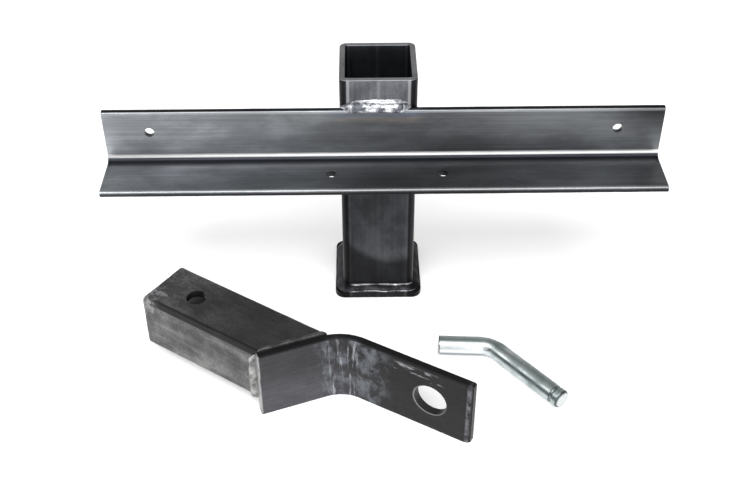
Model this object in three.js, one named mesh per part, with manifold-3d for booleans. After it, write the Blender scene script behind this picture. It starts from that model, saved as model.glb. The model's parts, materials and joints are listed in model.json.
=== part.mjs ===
// Receiver hitch: a square receiver tube welded to a cross angle, with its ball mount and hitch pin.
// Millimetres, +Z up. The receiver stands on its mouth; the other two pieces lie in front of it.
import * as THREE from 'three';
import { mergeVertices } from 'three/addons/utils/BufferGeometryUtils.js';
import Module from 'manifold-3d';

const wasm = await Module();
wasm.setup();

// receiver tube: 2.5 in square, 3/16 in wall
const tubeWidth = 63.5;
const tubeWall = 4.76;
const tubeCorner = 6;
const tubeHeight = 222.5;
const pinHoleRadius = 8.5;
const pinHoleFromMouth = 63.5;

// cross angle: 2 x 2 x 3/16 in, 18 in long
const angleLength = 457.2;
const angleLeg = 50.8;
const angleWall = 4.76;
const angleRoot = 6;
const angleToe = 3;
const angleHeel = 147;
const angleShift = 4;
const boltRadius = 4.1;
const outerBolts = [-187.4, 195.8];
const outerBoltUp = 31.7;
const innerBolts = [-38.8, 52.4];
const innerBoltOut = 28.2;

// mouth collar
const collarOut = 7.25;
const collarHeight = 6.35;
const collarFit = 0.05;

// ball mount: 2 in square shank, 1/4 in wall, with a bent strap on its oblique end
const shankWidth = 50.8;
const shankWall = 6.35;
const shankCorner = 4;
const shankFront = 119;
const shankPinAlong = 37.5;
const strapWidth = 63.5;
const strapThick = 7;
const strapLean = 55;
const strapRun = 3.4;
const strapBend = 33.5;
const strapCorner = 165.4;
const strapOverhang = 12.7;
const strapStart = -4.2;
const strapEnd = 280.5;
const ballHoleRadius = 14.3;
const ballHoleAlong = 244.8;
const mountPlace = [-197.45, -109.65];
const mountTurn = -34.36;

// hitch pin: 5/8 in, bent, lying flat
const pinRadius = 7.94;
const pinBendRadius = 22;
const pinShortArm = 45.3;
const pinLongArm = 83;
const pinShortTurn = -3.5;
const pinLongTurn = -51.2;
const pinPlace = [50.5, -110.4];
const grooveFromEnd = 6.6;
const grooveWidth = 3;
const grooveDepth = 1.4;

const weldGap = 0.03;
const rad = THREE.MathUtils.degToRad;

const barkSteel = { color: 0x4b4e52, roughness: 0.5, metalness: 0.8 };
const looks = {
  tube: { color: 0x5a5c60, roughness: 0.5, metalness: 0.8 },
  angle: { color: 0x6b6f73, roughness: 0.45, metalness: 0.8 },
  collar: barkSteel,
  weld: { color: 0xb9bcc2, roughness: 0.35, metalness: 0.9 },
  shank: { color: 0x47484a, roughness: 0.55, metalness: 0.7 },
  strap: { color: 0x4a494d, roughness: 0.5, metalness: 0.7 },
  pin: { color: 0x9fb0ac, roughness: 0.3, metalness: 0.95 },
};

function toSolid(geometry) {
  const bare = geometry.index ? geometry.toNonIndexed() : geometry.clone();
  bare.deleteAttribute('normal');
  bare.deleteAttribute('uv');
  const merged = mergeVertices(bare, 1e-4);
  const vertProperties = new Float32Array(merged.attributes.position.array);
  const triVerts = new Uint32Array(merged.index.array);
  return new wasm.Manifold(new wasm.Mesh({ numProp: 3, vertProperties, triVerts }));
}

function fromSolid(solid) {
  const mesh = solid.getMesh();
  const geometry = new THREE.BufferGeometry();
  geometry.setAttribute('position', new THREE.BufferAttribute(new Float32Array(mesh.vertProperties), 3));
  geometry.setIndex(new THREE.BufferAttribute(new Uint32Array(mesh.triVerts), 1));
  return geometry;
}

function cut(geometry, cutters) {
  let solid = toSolid(geometry);
  for (const cutter of cutters) {
    solid = solid.subtract(toSolid(cutter));
  }
  return fromSolid(solid);
}

function node(name, geometry, look) {
  const flat = geometry.index ? geometry.toNonIndexed() : geometry;
  flat.computeVertexNormals();
  const mesh = new THREE.Mesh(flat, new THREE.MeshStandardMaterial(looks[look]));
  mesh.name = name;
  return mesh;
}

// rounded square outline, counter-clockwise, centred on the origin
function roundedSquare(half, radius, steps = 6) {
  const points = [];
  for (let corner = 0; corner < 4; corner += 1) {
    const start = corner * 90;
    const cx = (half - radius) * (corner === 0 || corner === 3 ? 1 : -1);
    const cy = (half - radius) * (corner < 2 ? 1 : -1);
    for (let k = 0; k <= steps; k += 1) {
      const turn = rad(start + (90 * k) / steps);
      points.push(new THREE.Vector2(cx + radius * Math.cos(turn), cy + radius * Math.sin(turn)));
    }
  }
  return points;
}

function extrudeUp(outline, height, holes = []) {
  const shape = new THREE.Shape(outline);
  for (const hole of holes) {
    shape.holes.push(new THREE.Path(hole));
  }
  return new THREE.ExtrudeGeometry(shape, { depth: height, bevelEnabled: false, steps: 1 });
}

// cylinder with its axis along x, y or z
function drill(radius, length, axis, x, y, z) {
  const bit = new THREE.CylinderGeometry(radius, radius, length, 40);
  if (axis === 'x') bit.rotateZ(Math.PI / 2);
  if (axis === 'z') bit.rotateX(Math.PI / 2);
  bit.translate(x, y, z);
  return bit;
}

// bead: one closed cross-section carried through a list of frames; frame = { at, out, up }
function bead(frames, profile, closed) {
  const flat = profile.map(([p, q]) => new THREE.Vector2(p, q));
  if (THREE.ShapeUtils.isClockWise(flat)) flat.reverse();
  const section = flat.map((point) => [point.x, point.y]);
  const count = section.length;
  const points = [];
  for (const frame of frames) {
    for (const [p, q] of section) {
      const scale = frame.scale ?? 1;
      const spot = frame.at.clone().addScaledVector(frame.out, p * scale).addScaledVector(frame.up, q * scale);
      points.push(spot.x, spot.y, spot.z);
    }
  }
  const faces = [];
  const spans = closed ? frames.length : frames.length - 1;
  for (let i = 0; i < spans; i += 1) {
    const a = i * count;
    const b = ((i + 1) % frames.length) * count;
    for (let k = 0; k < count; k += 1) {
      const m = (k + 1) % count;
      faces.push(a + k, b + k, b + m, a + k, b + m, a + m);
    }
  }
  if (!closed) {
    const last = (frames.length - 1) * count;
    for (const [i, j, k] of THREE.ShapeUtils.triangulateShape(flat, [])) {
      faces.push(i, j, k, last + i, last + k, last + j);
    }
  }
  const geometry = new THREE.BufferGeometry();
  geometry.setAttribute('position', new THREE.BufferAttribute(new Float32Array(points), 3));
  geometry.setIndex(signedVolume(points, faces) > 0 ? faces : faces.reverse());
  return geometry;
}

function signedVolume(points, faces) {
  const corner = (i) => new THREE.Vector3(points[3 * i], points[3 * i + 1], points[3 * i + 2]);
  let sum = 0;
  for (let k = 0; k < faces.length; k += 3) {
    sum += corner(faces[k]).dot(corner(faces[k + 1]).cross(corner(faces[k + 2])));
  }
  return sum / 6;
}

// frames along a straight run, with the bead thinning at both ends
function straightRun(from, to, out, up, steps = 12) {
  const start = new THREE.Vector3(...from);
  const end = new THREE.Vector3(...to);
  const frames = [];
  for (let i = 0; i <= steps; i += 1) {
    const t = i / steps;
    const edge = Math.min(t, 1 - t) * steps;
    const scale = edge < 1 ? 0.72 : 1;
    const at = start.clone().lerp(end, t);
    frames.push({ at, out: new THREE.Vector3(...out), up: new THREE.Vector3(...up), scale });
  }
  return frames;
}

// convex fillet section between the two walls at right angles: out from one, up the other
function filletSection(legOut, legUp, bulge = 0.12) {
  const section = [[0, 0], [legOut, 0]];
  for (let k = 1; k < 6; k += 1) {
    const t = k / 6;
    const swell = 1 + bulge * Math.sin(Math.PI * t);
    section.push([legOut * (1 - t) * swell, legUp * t * swell]);
  }
  section.push([0, legUp]);
  return section;
}

function receiverTube() {
  const half = tubeWidth / 2;
  const inner = half - tubeWall;
  const body = extrudeUp(roundedSquare(half, tubeCorner), tubeHeight, [roundedSquare(inner, 2.5, 4)]);
  return cut(body, [drill(pinHoleRadius, tubeWidth + 20, 'x', 0, 0, pinHoleFromMouth)]);
}

// L outline in the (forward, up) plane: heel at the origin, sharp heel, rounded root and toes
function angleOutline() {
  const outline = new THREE.Shape();
  const t = angleWall;
  outline.moveTo(0, 0);
  outline.lineTo(angleLeg, 0);
  outline.lineTo(angleLeg, t - angleToe);
  outline.absarc(angleLeg - angleToe, t - angleToe, angleToe, 0, Math.PI / 2, false);
  outline.lineTo(t + angleRoot, t);
  outline.absarc(t + angleRoot, t + angleRoot, angleRoot, -Math.PI / 2, -Math.PI, true);
  outline.lineTo(t, angleLeg - angleToe);
  outline.absarc(t - angleToe, angleLeg - angleToe, angleToe, 0, Math.PI / 2, false);
  outline.lineTo(0, angleLeg);
  outline.closePath();
  return outline;
}

function crossAngle() {
  const options = { depth: angleLength, bevelEnabled: false, steps: 1, curveSegments: 6 };
  const bar = new THREE.ExtrudeGeometry(angleOutline(), options);
  // profile x -> -Y (forward), profile y -> +Z, depth -> -X
  bar.applyMatrix4(new THREE.Matrix4().makeBasis(
    new THREE.Vector3(0, -1, 0), new THREE.Vector3(0, 0, 1), new THREE.Vector3(-1, 0, 0)));
  bar.translate(angleShift + angleLength / 2, -tubeWidth / 2, angleHeel);
  const cutters = [];
  for (const x of outerBolts) {
    cutters.push(drill(boltRadius, 30, 'y', x, -tubeWidth / 2 - 2, angleHeel + outerBoltUp));
  }
  for (const x of innerBolts) {
    cutters.push(drill(boltRadius, 30, 'z', x, -tubeWidth / 2 - innerBoltOut, angleHeel + 2));
  }
  return cut(bar, cutters);
}

function mouthCollar() {
  const inner = roundedSquare(tubeWidth / 2 + collarFit, tubeCorner + collarFit);
  const outer = roundedSquare(tubeWidth / 2 + collarOut, tubeCorner + 2.5);
  return extrudeUp(outer, collarHeight, [inner]);
}

// bead all the way round the tube on top of the collar
function collarWeld() {
  const spine = roundedSquare(tubeWidth / 2 + weldGap, tubeCorner + weldGap);
  const outward = roundedSquare(tubeWidth / 2 + 1, tubeCorner + 1);
  const frames = spine.map((point, i) => {
    const out = new THREE.Vector3(outward[i].x - point.x, outward[i].y - point.y, 0).normalize();
    return { at: new THREE.Vector3(point.x, point.y, collarHeight + weldGap), out, up: new THREE.Vector3(0, 0, 1) };
  });
  return bead(frames, filletSection(5.2, 4.6), true);
}

function angleTopWeld() {
  const z = angleHeel + angleLeg + weldGap;
  const y = -tubeWidth / 2 - weldGap;
  const frames = straightRun([-31, y, z], [31, y, z], [0, -1, 0], [0, 0, 1], 16);
  return bead(frames, filletSection(5.6, 8.4, 0.16), false);
}

function angleHeelWeld() {
  const z = angleHeel - weldGap;
  const y = -tubeWidth / 2 - weldGap;
  const frames = straightRun([25.5, y, z], [-25.5, y, z], [0, -1, 0], [0, 0, -1], 14);
  return bead(frames, filletSection(5, 5), false);
}

// upright bead in the groove between the tube's round corner and the back of the angle
function sideWeld(side) {
  const c = tubeWidth / 2 - tubeCorner;
  const section = [];
  for (let k = 0; k <= 6; k += 1) {
    const turn = rad(-68 + (58 * k) / 6);
    const r = tubeCorner + 0.12;
    section.push([c + r * Math.cos(turn), -c + r * Math.sin(turn)]);
  }
  section.push([c + 8.6, -c - 1.6], [c + 10.6, -c - 4.2], [c + 11.4, -tubeWidth / 2 + weldGap]);
  section.push([c + 3.1, -tubeWidth / 2 + weldGap]);
  const sided = section.map(([p, q]) => [side * p, q]);
  const frames = [];
  for (const z of [angleHeel + 1, angleHeel + 13, angleHeel + 25, angleHeel + 37, angleHeel + angleLeg - 1]) {
    const at = new THREE.Vector3(0, 0, z);
    frames.push({ at, out: new THREE.Vector3(1, 0, 0), up: new THREE.Vector3(0, 1, 0) });
  }
  return bead(frames, sided, false);
}

// strap centre line in plan: along the lean, round the bend, along the run
function strapPlan(offset) {
  const lean = rad(strapLean);
  const run = rad(strapRun);
  const faceAtZero = shankFront + strapThick / Math.sin(lean);
  const radius = strapBend - strapThick / 2;
  const cornerUp = (strapCorner - faceAtZero) * Math.tan(lean);
  const tangent = radius * Math.tan((lean - run) / 2);
  const corner = new THREE.Vector2(strapCorner, cornerUp);
  const along = (turn, d) => corner.clone().add(new THREE.Vector2(Math.cos(turn) * d, Math.sin(turn) * d));
  const centre = along(lean, -tangent).add(new THREE.Vector2(Math.sin(lean) * radius, -Math.cos(lean) * radius));
  const startBack = (cornerUp - strapStart) / Math.sin(lean);
  const endOn = (strapEnd - strapCorner) / Math.cos(run);
  const shifted = (point, turn) => point.add(new THREE.Vector2(-Math.sin(turn) * offset, Math.cos(turn) * offset));
  const points = [shifted(along(lean, -startBack), lean)];
  const steps = 12;
  for (let k = 0; k <= steps; k += 1) {
    const turn = lean + ((run - lean) * k) / steps;
    const reach = radius + offset;
    points.push(new THREE.Vector2(centre.x - Math.sin(turn) * reach, centre.y + Math.cos(turn) * reach));
  }
  points.push(shifted(along(run, endOn), run));
  return points;
}

function tongueStrap() {
  const front = strapPlan(0);
  const back = strapPlan(strapThick).reverse();
  const slab = extrudeUp([...front, ...back], strapWidth);
  slab.translate(0, 0, -strapOverhang);
  const run = rad(strapRun);
  const lean = rad(strapLean);
  const faceAtZero = shankFront + strapThick / Math.sin(lean);
  const cornerUp = (strapCorner - faceAtZero) * Math.tan(lean);
  const n = cornerUp + (ballHoleAlong - strapCorner) * Math.tan(run);
  const bit = new THREE.CylinderGeometry(ballHoleRadius, ballHoleRadius, 40, 56);
  bit.rotateZ(run);
  bit.translate(ballHoleAlong, n, strapWidth / 2 - strapOverhang);
  return cut(slab, [bit]);
}

function shankTube() {
  const half = shankWidth / 2;
  const inner = half - shankWall;
  const options = roundedSquare(half, shankCorner);
  const tube = extrudeUp(options, 260, [roundedSquare(inner, 1.5, 4)]);
  tube.rotateY(Math.PI / 2);
  tube.translate(0, half, half);
  // the oblique end follows the back of the strap
  const lean = rad(strapLean);
  const saw = new THREE.BoxGeometry(400, 400, 200);
  saw.translate(200, 0, 0);
  saw.rotateZ(lean - Math.PI / 2);
  saw.translate(shankFront - 0.02, 0, half);
  const hole = drill(pinHoleRadius, 90, 'z', shankPinAlong, half, half);
  return cut(tube, [saw, hole]);
}

function mountWelds() {
  const lean = rad(strapLean);
  const along = [Math.cos(lean), Math.sin(lean), 0];
  const away = [-Math.sin(lean), Math.cos(lean), 0];
  const spot = (d, z) => [shankFront + along[0] * d - 0.02, along[1] * d, z];
  const full = shankWidth / Math.sin(lean);
  const top = straightRun(spot(6, shankWidth + weldGap), spot(full - 6, shankWidth + weldGap), away, [0, 0, 1]);
  const bottom = straightRun(spot(full - 6, -weldGap), spot(6, -weldGap), away, [0, 0, -1]);
  const crown = [[-4.2, 0], [-3.4, 1], [-1.6, 1.7], [0.4, 2], [2.6, 1.6], [4.2, 0.8], [4.8, 0]];
  const down = along.map((value) => -value);
  const corner = [shankFront - 0.12, -weldGap];
  const front = straightRun([...corner, 5.5], [...corner, 45], [-1, 0, 0], down);
  const rear = shankWidth / Math.tan(lean);
  const backAt = [shankFront + rear - 0.3, shankWidth + weldGap];
  const backRun = straightRun([...backAt, 5.5], [...backAt, 45], [-1, 0, 0], along);
  return [
    node('weld_shank_top', bead(top, crown, false), 'weld'),
    node('weld_shank_bottom', bead(bottom, filletSection(5, 5), false), 'weld'),
    node('weld_shank_front', bead(front, filletSection(5, 4.2), false), 'weld'),
    node('weld_shank_back', bead(backRun, filletSection(4.6, 5), false), 'weld'),
  ];
}

function bentPinPath() {
  const a = rad(pinShortTurn);
  const b = rad(pinLongTurn);
  const tangent = pinBendRadius * Math.tan((a - b) / 2);
  const corner = new THREE.Vector2(Math.cos(a) * pinShortArm, Math.sin(a) * pinShortArm);
  const bendStart = corner.clone().sub(new THREE.Vector2(Math.cos(a) * tangent, Math.sin(a) * tangent));
  const centre = bendStart.clone().add(new THREE.Vector2(Math.sin(a) * pinBendRadius, -Math.cos(a) * pinBendRadius));
  const stations = [{ x: 0, y: 0, turn: a, r: pinRadius - 0.8 }];
  stations.push({ x: Math.cos(a) * 0.8, y: Math.sin(a) * 0.8, turn: a, r: pinRadius });
  for (let k = 0; k <= 10; k += 1) {
    const turn = a + ((b - a) * k) / 10;
    const x = centre.x - Math.sin(turn) * pinBendRadius;
    const y = centre.y + Math.cos(turn) * pinBendRadius;
    stations.push({ x, y, turn, r: pinRadius });
  }
  const reach = [
    [pinLongArm - grooveFromEnd - grooveWidth / 2, pinRadius],
    [pinLongArm - grooveFromEnd - grooveWidth / 2 + 0.6, pinRadius - grooveDepth],
    [pinLongArm - grooveFromEnd + grooveWidth / 2 - 0.6, pinRadius - grooveDepth],
    [pinLongArm - grooveFromEnd + grooveWidth / 2, pinRadius],
    [pinLongArm - 1.3, pinRadius],
    [pinLongArm, pinRadius - 1.3],
  ];
  for (const [d, r] of reach) {
    stations.push({ x: corner.x + Math.cos(b) * d, y: corner.y + Math.sin(b) * d, turn: b, r });
  }
  return stations;
}

function hitchPin() {
  const ring = [];
  const sides = 32;
  for (let k = 0; k < sides; k += 1) {
    const turn = (2 * Math.PI * k) / sides;
    ring.push([Math.cos(turn), Math.sin(turn)]);
  }
  const frames = bentPinPath().map(({ x, y, turn, r }) => ({
    at: new THREE.Vector3(x, y, pinRadius),
    out: new THREE.Vector3(Math.sin(turn), -Math.cos(turn), 0),
    up: new THREE.Vector3(0, 0, 1),
    scale: r,
  }));
  return bead(frames, ring, false);
}

function standing() {
  const receiver = new THREE.Group();
  receiver.name = 'receiver';
  receiver.add(
    node('receiver_tube', receiverTube(), 'tube'),
    node('cross_angle', crossAngle(), 'angle'),
    node('mouth_collar', mouthCollar(), 'collar'),
    node('weld_collar', collarWeld(), 'weld'),
    node('weld_angle_top', angleTopWeld(), 'weld'),
    node('weld_angle_heel', angleHeelWeld(), 'weld'),
    node('weld_angle_left', sideWeld(-1), 'weld'),
    node('weld_angle_right', sideWeld(1), 'weld'),
  );
  return receiver;
}

function ballMount() {
  const mount = new THREE.Group();
  mount.name = 'ball_mount';
  mount.add(node('shank_tube', shankTube(), 'shank'), node('tongue_strap', tongueStrap(), 'strap'), ...mountWelds());
  mount.rotation.z = rad(mountTurn);
  mount.position.set(mountPlace[0], mountPlace[1], strapOverhang);
  return mount;
}

function loosePin() {
  const pin = new THREE.Group();
  pin.name = 'pin';
  pin.add(node('hitch_pin', hitchPin(), 'pin'));
  pin.position.set(pinPlace[0], pinPlace[1], 0);
  return pin;
}

const group = new THREE.Group();
group.name = 'receiver_hitch';
group.add(standing(), ballMount(), loosePin());

// origin: middle of the whole set's footprint, on the floor
group.updateMatrixWorld(true);
const footprint = new THREE.Box3().setFromObject(group, true).getCenter(new THREE.Vector3());
for (const piece of group.children) {
  piece.position.x -= footprint.x;
  piece.position.y -= footprint.y;
}
group.updateMatrixWorld(true);

export default group;
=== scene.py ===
import bpy
import json
import math
import numpy as np
from mathutils import Matrix, Vector


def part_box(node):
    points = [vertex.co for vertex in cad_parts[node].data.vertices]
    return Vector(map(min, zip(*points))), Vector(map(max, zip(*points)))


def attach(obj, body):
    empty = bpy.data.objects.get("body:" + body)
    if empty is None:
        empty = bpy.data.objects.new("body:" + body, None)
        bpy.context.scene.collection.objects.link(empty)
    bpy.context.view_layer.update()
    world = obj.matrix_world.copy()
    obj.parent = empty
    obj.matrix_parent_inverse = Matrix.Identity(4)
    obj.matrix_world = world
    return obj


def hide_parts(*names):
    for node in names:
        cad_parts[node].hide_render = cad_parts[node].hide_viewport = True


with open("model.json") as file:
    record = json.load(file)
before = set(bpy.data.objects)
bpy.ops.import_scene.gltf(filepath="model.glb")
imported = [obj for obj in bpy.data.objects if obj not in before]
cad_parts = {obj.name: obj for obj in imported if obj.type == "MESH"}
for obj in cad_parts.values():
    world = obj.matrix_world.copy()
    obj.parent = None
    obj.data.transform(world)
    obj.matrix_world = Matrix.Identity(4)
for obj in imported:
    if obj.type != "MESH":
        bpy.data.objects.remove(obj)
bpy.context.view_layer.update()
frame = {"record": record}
record = frame["record"]
mm = 0.001


def unit(vector):
    # the vector divided by its own length
    return np.asarray(vector, float) / np.linalg.norm(vector)


def addObject(name, data):
    # a new object that holds the data, linked to the scene
    made = bpy.data.objects.new(name, data)
    bpy.context.scene.collection.objects.link(made)
    return made


tubeLow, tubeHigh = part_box("receiver_tube")
tubeX = (tubeLow.x + tubeHigh.x) / 2
tubeY = (tubeLow.y + tubeHigh.y) / 2

view = {
    "fromTube": (-14.3, -808.1, 666.9),  # mm, from the foot of the tube's axis
    "turn": 0.377,                       # degrees
    "down": 38.468,
    "roll": -0.328,
    "lens": 54.3,                        # mm, before a sensor this wide
    "sensor": 36,
}


def makeCamera():
    # ahead is +Y turned about the upright and tipped down, right is level, up is right cross ahead;
    # the roll then turns right and up about ahead
    turn, down, roll = (math.radians(view[k]) for k in ("turn", "down", "roll"))
    ahead = np.array([math.sin(turn) * math.cos(down), math.cos(turn) * math.cos(down), -math.sin(down)])
    right = np.array([math.cos(turn), -math.sin(turn), 0.0])
    up = np.cross(right, ahead)
    side = math.cos(roll) * right + math.sin(roll) * up
    top = -math.sin(roll) * right + math.cos(roll) * up
    x, y, z = (v * mm for v in view["fromTube"])
    placed = Matrix.Identity(4)
    for row in range(3):
        placed[row][0], placed[row][1], placed[row][2] = side[row], top[row], -ahead[row]
    placed[0][3], placed[1][3], placed[2][3] = tubeX + x, tubeY + y, z
    data = bpy.data.cameras.new("viewCamera")
    data.lens = view["lens"]
    data.sensor_width = view["sensor"]
    camera = addObject("viewCamera", data)
    camera.matrix_world = placed
    bpy.context.scene.camera = camera


def areaLight(name, place, aim, size, power):
    # a rectangle of light whose -Z points from its place to its aim
    data = bpy.data.lights.new(name, "AREA")
    data.shape = "RECTANGLE"
    data.size, data.size_y = size
    data.energy = power
    lamp = addObject(name, data)
    lamp.location = place
    lamp.rotation_euler = (Vector(aim) - Vector(place)).to_track_quat("-Z", "Y").to_euler()


room = {
    "floorHalf": 6.0,
    "floorTone": 0.9,
    "floorRough": 0.9,
    "floorShine": 0.1,
    "floorGlow": 0.28,
    "surroundings": 0.55,
    "lamps": [                           # name, place, aim, size, power
        ("overheadSoft", (0.0, -0.9, 1.5), (0, 0, 0.1), (1.6, 0.7), 28),
        ("leftSoft", (-1.7, -0.3, 0.9), (0, 0, 0.1), (1.0, 1.2), 10),
        ("frontSoft", (0.1, -1.9, 0.42), (0, 0, 0.06), (1.4, 0.6), 9),
    ],
}


def makeRoom():
    # a pale square floor that glows a little, white surroundings and three soft lamps
    data = bpy.data.meshes.new("paleFloor")
    half, tone = room["floorHalf"], room["floorTone"]
    corners = [(-half, -half, 0), (half, -half, 0), (half, half, 0), (-half, half, 0)]
    data.from_pydata(corners, [], [(0, 1, 2, 3)])
    floor = addObject("paleFloor", data)
    paint = bpy.data.materials.new("paleFloorPaint")
    paint.use_nodes = True
    shader = paint.node_tree.nodes["Principled BSDF"]
    shader.inputs["Base Color"].default_value = (tone, tone, tone, 1)
    shader.inputs["Roughness"].default_value = room["floorRough"]
    shader.inputs["Specular IOR Level"].default_value = room["floorShine"]
    shader.inputs["Emission Color"].default_value = (1, 1, 1, 1)
    shader.inputs["Emission Strength"].default_value = room["floorGlow"]
    data.materials.append(paint)
    world = bpy.data.worlds.new("studio")
    bpy.context.scene.world = world
    world.use_nodes = True
    background = world.node_tree.nodes["Background"]
    background.inputs["Color"].default_value = (1, 1, 1, 1)
    background.inputs["Strength"].default_value = room["surroundings"]
    for lamp in room["lamps"]:
        areaLight(*lamp)
    bpy.context.scene.view_settings.view_transform = "Standard"


makeCamera()
makeRoom()
print("camera and room made")


def meshFrom(name, points, faces, body, replaced):
    # points: n by 3 array in metres; faces: lists of point numbers
    data = bpy.data.meshes.new(name)
    data.from_pydata(np.asarray(points).tolist(), [], [list(f) for f in faces])
    data.update()
    piece = addObject(name, data)
    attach(piece, body)
    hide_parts(*replaced)
    return piece


def gridFaces(nu, nv, closeU, closeV):
    # quads of a grid whose point (i, j) is number i * nv + j
    i = np.arange(nu if closeU else nu - 1)
    j = np.arange(nv if closeV else nv - 1)
    ii, jj = np.meshgrid(i, j, indexing="ij")
    a = ii * nv + jj
    b = ((ii + 1) % nu) * nv + jj
    c = ((ii + 1) % nu) * nv + (jj + 1) % nv
    d = ii * nv + (jj + 1) % nv
    return np.stack([a, b, c, d], -1).reshape(-1, 4)


def gridPiece(name, grid, body, replaced, closeU=False, closeV=True, chart=None):
    # a grid of points, its first and last rows closed by end faces, turned outwards by its volume;
    # chart holds two lengths for each point, kept as the piece's own map
    nu, nv, _ = grid.shape
    points = grid.reshape(-1, 3)
    faces = gridFaces(nu, nv, closeU, closeV).tolist()
    if not closeU:
        faces.append(list(range(nv))[::-1])
        faces.append([(nu - 1) * nv + k for k in range(nv)])
    if signedVolume(points, faces) < 0:
        faces = [f[::-1] for f in faces]
    piece = meshFrom(name, points, faces, body, replaced)
    if chart is not None:
        corners = np.empty(len(piece.data.loops), dtype=np.int32)
        piece.data.loops.foreach_get("vertex_index", corners)
        chartMap = piece.data.uv_layers.new(name="barChart")
        chartMap.data.foreach_set("uv", chart.reshape(-1, 2)[corners].astype(np.float32).ravel())
    return piece


def signedVolume(points, faces):
    # sum of a . (b x c) over each quad's two triangles, seen from the middle point: six times the volume,
    # but for the end faces
    middle = points.mean(0)
    quads = np.array([f for f in faces if len(f) == 4])
    p = points[quads] - middle
    total = np.einsum("ij,ij->i", p[:, 0], np.cross(p[:, 1], p[:, 2])).sum()
    total += np.einsum("ij,ij->i", p[:, 0], np.cross(p[:, 2], p[:, 3])).sum()
    return total


def roundedSquare(half, radius, arcSteps=10, flatSteps=10):
    # corner arcs, corner middle + radius * (cos, sin), joined by flats cut into equal steps;
    # returns points and outward normals
    points, normals = [], []
    for corner in range(4):
        turn = np.radians(90 * corner + np.linspace(0, 90, arcSteps + 1))
        cx = (half - radius) * (1 if corner in (0, 3) else -1)
        cy = (half - radius) * (1 if corner < 2 else -1)
        points.append(np.stack([cx + radius * np.cos(turn), cy + radius * np.sin(turn)], -1))
        normals.append(np.stack([np.cos(turn), np.sin(turn)], -1))
        nextTurn = math.radians(90 * corner + 90)
        out = np.array([math.cos(nextTurn), math.sin(nextTurn)])
        along = np.array([-out[1], out[0]])
        steps = np.linspace(0, 1, flatSteps + 1)[1:-1, None]
        points.append(points[-1][-1] + along * 2 * (half - radius) * steps)
        normals.append(np.repeat(out[None], flatSteps - 1, 0))
    return np.concatenate(points), np.concatenate(normals)


def smoothNoise(shape, cells, seed, wrap=False):
    # random values from -1 to 1 on a coarse grid, a + (b - a) * t * t * (3 - 2 * t) between neighbours;
    # wrap joins the ends
    rng = np.random.default_rng(seed)
    coarse = rng.uniform(-1, 1, [c + 1 for c in cells])
    if wrap:
        coarse[-1] = coarse[0]
    result = coarse
    for axis, (n, c) in enumerate(zip(shape, cells)):
        at = np.linspace(0, c, n)
        low = np.minimum(at.astype(int), c - 1)
        t = at - low
        t = t * t * (3 - 2 * t)
        a = np.take(result, low, axis)
        b = np.take(result, low + 1, axis)
        t = t.reshape([-1 if k == axis else 1 for k in range(result.ndim)])
        result = a + (b - a) * t
    return result


def shadeSmooth(piece, degrees=35):
    # faces that meet at less than this many degrees shade as one
    bpy.context.view_layer.objects.active = piece
    piece.select_set(True)
    bpy.ops.object.shade_smooth_by_angle(angle=math.radians(degrees))
    piece.select_set(False)


rodSides = 64


def drillHoles(piece, holes):
    # holes: (place, axis, radius, length) in metres; each is cut with a many-sided rod, whose two rings
    # are place -+ length / 2 * axis + radius * (cos(turn) * side + sin(turn) * up)
    rods = []
    for place, axis, radius, length in holes:
        turn = np.linspace(0, 2 * math.pi, rodSides, endpoint=False)
        side = unit(np.cross(axis, (0.31, 0.52, 0.79)))      # square to the axis, crossed with any slant
        up = np.cross(unit(axis), side)
        ring = side * np.cos(turn)[:, None] * radius + up * np.sin(turn)[:, None] * radius
        ends = np.stack([ring - unit(axis) * length / 2, ring + unit(axis) * length / 2]) + np.asarray(place)
        rods.append(ends.reshape(-1, 3))
    points = np.concatenate(rods)
    faces = []
    for k in range(len(rods)):
        base = k * 2 * rodSides
        faces += (gridFaces(2, rodSides, False, True)[:, ::-1] + base).tolist()
        faces.append([base + i for i in range(rodSides)][::-1])
        faces.append([base + rodSides + i for i in range(rodSides)])
    data = bpy.data.meshes.new("drillRods")
    data.from_pydata(points.tolist(), [], faces)
    rodObject = addObject("drillRods", data)
    bpy.context.view_layer.objects.active = rodObject
    rodObject.select_set(True)
    bpy.ops.object.mode_set(mode="EDIT")
    bpy.ops.mesh.select_all(action="SELECT")
    bpy.ops.mesh.normals_make_consistent(inside=False)
    bpy.ops.object.mode_set(mode="OBJECT")
    rodObject.select_set(False)
    cutting = piece.modifiers.new("holes", "BOOLEAN")
    cutting.operation = "DIFFERENCE"
    cutting.solver = "EXACT"
    cutting.object = rodObject
    bpy.context.view_layer.objects.active = piece
    piece.select_set(True)
    bpy.ops.object.modifier_apply(modifier=cutting.name)
    piece.select_set(False)
    bpy.data.objects.remove(rodObject)


tube = {
    "half": 31.75,
    "wall": 4.76,
    "corner": 6.0,
    "insideCorner": 2.5,
    "height": 222.5,
    "rim": 0.7,        # rounding of the sawn ends
    "rows": 40,
    "holeUp": 63.5,
    "holeRadius": 8.5,
    "drill": 200.0,    # length of the rod that cuts both holes
}


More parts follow.
